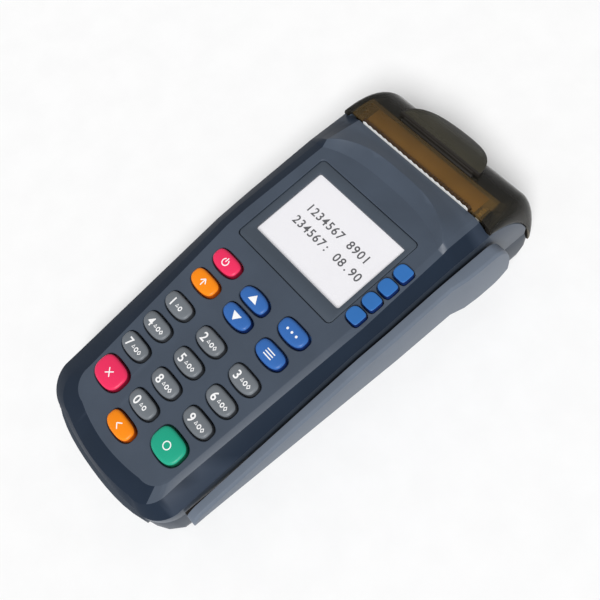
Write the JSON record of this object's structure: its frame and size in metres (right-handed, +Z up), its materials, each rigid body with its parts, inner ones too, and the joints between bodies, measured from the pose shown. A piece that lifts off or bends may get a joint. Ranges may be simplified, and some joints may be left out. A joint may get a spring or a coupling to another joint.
{
  "type": "card payment terminal",
  "caption": "Counter card terminal with keypad, lit screen, swipe rail, chip card slot, and a receipt printer under a hinged smoked lid.",
  "frame": {"origin": "on the table, under the middle of the whole terminal's outline", "axes": "+Y from the keypad end to the paper end, +X to the swipe rail's side, +Z up"},
  "size_m": [0.0878, 0.1944, 0.0536],
  "materials": {
    "cover_plastic": "fine satin texture",
    "base_plastic": "fine satin texture",
    "rail_plastic": "satin",
    "lid_plastic": "smoked, clear, polished",
    "tear_plastic": "satin",
    "key_grey": "satin",
    "key_red": "satin",
    "key_orange": "satin",
    "key_green": "satin",
    "key_blue": "satin",
    "mat_rubber": "matt",
    "foot_rubber": "matt",
    "roller_rubber": "matt",
    "screen_glass": "clear",
    "panel_glass": "lit screen",
    "white_plastic": "satin",
    "black_plastic": "satin",
    "board_laminate": "solder mask",
    "steel": "bright",
    "frame_metal": "zinc plated",
    "head_ceramic": "glazed",
    "gear_brass": "bright",
    "gear_plastic": "satin",
    "paper": "matt paper"
  },
  "bodies": {
    "case": {"base_cover": "base_plastic", "battery_pack": "black_plastic", "card_connector": "black_plastic", "case_screw_1": "steel", "case_screw_2": "steel", "case_screw_3": "steel", "case_screw_4": "steel", "display_bezel": "cover_plastic", "display_window": "screen_glass", "foot_front": "foot_rubber", "foot_rear": "foot_rubber", "keypad_mat": "mat_rubber", "lcd_frame": "white_plastic", "lcd_panel": "panel_glass", "lid_hinge_pin": "steel", "mag_head_spring": "steel", "main_board": "board_laminate", "paper_tail": "paper", "print_head": "head_ceramic", "printer_frame": "frame_metal", "soft_key_mat": "mat_rubber", "speaker": "steel", "stepper_motor": "steel", "swipe_rail": "rail_plastic", "top_cover": "cover_plastic"},
    "lid": {"printer_lid": "lid_plastic", "tear_bar": "tear_plastic", "lever_pin": "steel"},
    "lever": {"lid_lever": "lid_plastic"},
    "roll": {"paper_roll": "paper"},
    "platen": {"platen_roller": "roller_rubber", "platen_shaft": "steel", "platen_gear": "gear_plastic"},
    "idler": {"idler_gear": "gear_plastic"},
    "motor_rotor": {"motor_gear": "gear_brass"},
    "door": {"battery_door": "base_plastic"},
    "head": {"mag_head": "steel"},
    "key_power": {"key_power": "key_red"},
    "key_shift": {"key_shift": "key_orange"},
    "key_up": {"key_up": "key_blue"},
    "key_down": {"key_down": "key_blue"},
    "key_func": {"key_func": "key_blue"},
    "key_menu": {"key_menu": "key_blue"},
    "key_1": {"key_1": "key_grey"},
    "key_2": {"key_2": "key_grey"},
    "key_3": {"key_3": "key_grey"},
    "key_4": {"key_4": "key_grey"},
    "key_5": {"key_5": "key_grey"},
    "key_6": {"key_6": "key_grey"},
    "key_7": {"key_7": "key_grey"},
    "key_8": {"key_8": "key_grey"},
    "key_9": {"key_9": "key_grey"},
    "key_0": {"key_0": "key_grey"},
    "key_cancel": {"key_cancel": "key_red"},
    "key_clear": {"key_clear": "key_orange"},
    "key_enter": {"key_enter": "key_green"},
    "soft_key_1": {"soft_key_1": "key_blue"},
    "soft_key_2": {"soft_key_2": "key_blue"},
    "soft_key_3": {"soft_key_3": "key_blue"},
    "soft_key_4": {"soft_key_4": "key_blue"}
  },
  "joints": [
    {"name": "lid_hinge", "type": "hinge", "parent": "case", "child": "lid", "pos_m": [-0.0037, 0.0926, 0.012], "axis": [-1, 0, 0], "range_deg": [0, 85]},
    {"name": "lever_tip", "type": "hinge", "parent": "lid", "child": "lever", "pos_m": [-0.0037, 0.079, 0.04908], "axis": [1, 0, 0], "range_deg": [0, 28], "stiffness_Nm_per_rad": 0.05},
    {"name": "motor_spin", "type": "hinge", "parent": "case", "child": "motor_rotor", "pos_m": [-0.0037, 0.04824, 0.03447], "axis": [1, 0, 0], "continuous": true},
    {"name": "platen_spin", "type": "hinge", "parent": "lid", "child": "platen", "pos_m": [-0.0037, 0.071, 0.0433], "axis": [1, 0, 0], "continuous": true},
    {"name": "idler_spin", "type": "hinge", "parent": "case", "child": "idler", "pos_m": [-0.0037, 0.06075, 0.03597], "axis": [1, 0, 0], "continuous": true},
    {"name": "roll_spin", "type": "hinge", "parent": "case", "child": "roll", "pos_m": [-0.0037, 0.0743, 0.0214], "axis": [1, 0, 0], "continuous": true},
    {"name": "door_slide", "type": "slide", "parent": "case", "child": "door", "axis": [0, -1, 0], "range_m": [0, 0.008]},
    {"name": "head_float", "type": "slide", "parent": "case", "child": "head", "axis": [1, 0, 0], "range_m": [0, 0.0006], "stiffness_N_per_m": 400},
    {"name": "key_power_press", "type": "slide", "parent": "case", "child": "key_power", "axis": [0, 0.1736, -0.9848], "range_m": [0, 0.001], "stiffness_N_per_m": 150},
    {"name": "key_shift_press", "type": "slide", "parent": "case", "child": "key_shift", "axis": [0, 0.1736, -0.9848], "range_m": [0, 0.001], "stiffness_N_per_m": 150},
    {"name": "key_up_press", "type": "slide", "parent": "case", "child": "key_up", "axis": [0, 0.1736, -0.9848], "range_m": [0, 0.001], "stiffness_N_per_m": 150},
    {"name": "key_down_press", "type": "slide", "parent": "case", "child": "key_down", "axis": [0, 0.1736, -0.9848], "range_m": [0, 0.001], "stiffness_N_per_m": 150},
    {"name": "key_func_press", "type": "slide", "parent": "case", "child": "key_func", "axis": [0, 0.1736, -0.9848], "range_m": [0, 0.001], "stiffness_N_per_m": 150},
    {"name": "key_menu_press", "type": "slide", "parent": "case", "child": "key_menu", "axis": [0, 0.1736, -0.9848], "range_m": [0, 0.001], "stiffness_N_per_m": 150},
    {"name": "key_1_press", "type": "slide", "parent": "case", "child": "key_1", "axis": [0, 0.1736, -0.9848], "range_m": [0, 0.001], "stiffness_N_per_m": 150},
    {"name": "key_2_press", "type": "slide", "parent": "case", "child": "key_2", "axis": [0, 0.1736, -0.9848], "range_m": [0, 0.001], "stiffness_N_per_m": 150},
    {"name": "key_3_press", "type": "slide", "parent": "case", "child": "key_3", "axis": [0, 0.1736, -0.9848], "range_m": [0, 0.001], "stiffness_N_per_m": 150},
    {"name": "key_4_press", "type": "slide", "parent": "case", "child": "key_4", "axis": [0, 0.1736, -0.9848], "range_m": [0, 0.001], "stiffness_N_per_m": 150},
    {"name": "key_5_press", "type": "slide", "parent": "case", "child": "key_5", "axis": [0, 0.1736, -0.9848], "range_m": [0, 0.001], "stiffness_N_per_m": 150},
    {"name": "key_6_press", "type": "slide", "parent": "case", "child": "key_6", "axis": [0, 0.1736, -0.9848], "range_m": [0, 0.001], "stiffness_N_per_m": 150},
    {"name": "key_7_press", "type": "slide", "parent": "case", "child": "key_7", "axis": [0, 0.1736, -0.9848], "range_m": [0, 0.001], "stiffness_N_per_m": 150},
    {"name": "key_8_press", "type": "slide", "parent": "case", "child": "key_8", "axis": [0, 0.1736, -0.9848], "range_m": [0, 0.001], "stiffness_N_per_m": 150},
    {"name": "key_9_press", "type": "slide", "parent": "case", "child": "key_9", "axis": [0, 0.1736, -0.9848], "range_m": [0, 0.001], "stiffness_N_per_m": 150},
    {"name": "key_0_press", "type": "slide", "parent": "case", "child": "key_0", "axis": [0, 0.1736, -0.9848], "range_m": [0, 0.001], "stiffness_N_per_m": 150},
    {"name": "key_cancel_press", "type": "slide", "parent": "case", "child": "key_cancel", "axis": [0, 0.1736, -0.9848], "range_m": [0, 0.001], "stiffness_N_per_m": 150},
    {"name": "key_clear_press", "type": "slide", "parent": "case", "child": "key_clear", "axis": [0, 0.1736, -0.9848], "range_m": [0, 0.001], "stiffness_N_per_m": 150},
    {"name": "key_enter_press", "type": "slide", "parent": "case", "child": "key_enter", "axis": [0, 0.1736, -0.9848], "range_m": [0, 0.001], "stiffness_N_per_m": 150},
    {"name": "soft_key_1_press", "type": "slide", "parent": "case", "child": "soft_key_1", "axis": [0, 0.0814, -0.9967], "range_m": [0, 0.001], "stiffness_N_per_m": 150},
    {"name": "soft_key_2_press", "type": "slide", "parent": "case", "child": "soft_key_2", "axis": [0, 0.0814, -0.9967], "range_m": [0, 0.001], "stiffness_N_per_m": 150},
    {"name": "soft_key_3_press", "type": "slide", "parent": "case", "child": "soft_key_3", "axis": [0, 0.0814, -0.9967], "range_m": [0, 0.001], "stiffness_N_per_m": 150},
    {"name": "soft_key_4_press", "type": "slide", "parent": "case", "child": "soft_key_4", "axis": [0, 0.0814, -0.9967], "range_m": [0, 0.001], "stiffness_N_per_m": 150}
  ],
  "couplings": [
    {"joint": "platen_spin", "follows": "motor_spin", "ratio": 1},
    {"joint": "idler_spin", "follows": "motor_spin", "ratio": -0.5},
    {"joint": "roll_spin", "follows": "motor_spin", "ratio": 0.22857}
  ]
}
